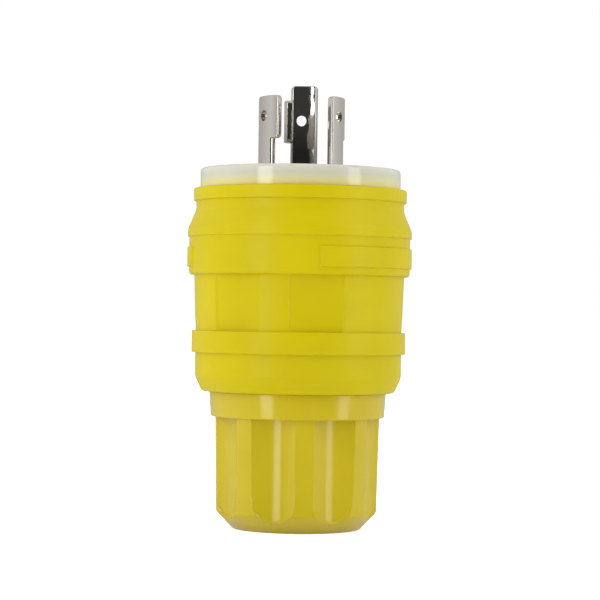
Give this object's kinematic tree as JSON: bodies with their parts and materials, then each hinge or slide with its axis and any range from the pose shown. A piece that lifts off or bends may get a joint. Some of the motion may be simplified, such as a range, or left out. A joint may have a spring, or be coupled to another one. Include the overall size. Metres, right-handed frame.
{
  "type": "locking power plug",
  "caption": "Watertight locking power plug with curved blades, sealing boot and a gland nut that screws down on the cord grip.",
  "frame": {"origin": "centre of the bottom face of the gland nut, on the surface that the plug stands on", "axes": "+Z along the plug from the cord end to the blades, -Y towards the front, +X to the right"},
  "size_m": [0.0616, 0.0614, 0.1225],
  "materials": {
    "boot_rubber": "matte moulded yellow elastomer",
    "nut_nylon": "glossy ochre-yellow nylon",
    "face_nylon": "translucent white nylon",
    "housing_nylon": "dark grey filled nylon",
    "block_phenolic": "brown phenolic moulding",
    "blade_nickel": "nickel-plated brass",
    "terminal_brass": "plain brass",
    "screw_steel": "zinc-plated steel",
    "ground_green": "green-dyed screw",
    "seal_rubber": "black rubber",
    "slip_nylon": "natural acetal",
    "collet_nylon": "grey nylon"
  },
  "bodies": {
    "plug_body": {"sealing_boot": "boot_rubber", "rear_housing": "housing_nylon", "face_insulator": "face_nylon", "terminal_block": "block_phenolic", "line_blade": "blade_nickel", "neutral_blade": "blade_nickel", "ground_blade": "blade_nickel", "line_clamp_plate": "terminal_brass", "neutral_clamp_plate": "terminal_brass", "ground_clamp_plate": "terminal_brass", "line_terminal_screw": "terminal_brass", "neutral_terminal_screw": "screw_steel", "ground_terminal_screw": "ground_green", "face_screws": "screw_steel", "screw_inserts": "terminal_brass", "face_seal_ring": "seal_rubber", "neck_seal_ring": "seal_rubber", "cord_grommet": "seal_rubber", "clamp_collet": "collet_nylon"},
    "slip_ring": {"slip_ring": "slip_nylon"},
    "gland_nut": {"gland_nut": "nut_nylon"}
  },
  "joints": [
    {"name": "nut_travel", "type": "slide", "parent": "plug_body", "child": "slip_ring", "axis": [0, 0, -1], "range_m": [0, 0.009]},
    {"name": "nut_turn", "type": "hinge", "parent": "slip_ring", "child": "gland_nut", "pos_m": [0, 0, 0], "axis": [0, 0, -1], "range_deg": [0, 1080]}
  ],
  "couplings": [
    {"joint": "nut_travel", "follows": "nut_turn", "m_per_rad": 0.000477}
  ]
}
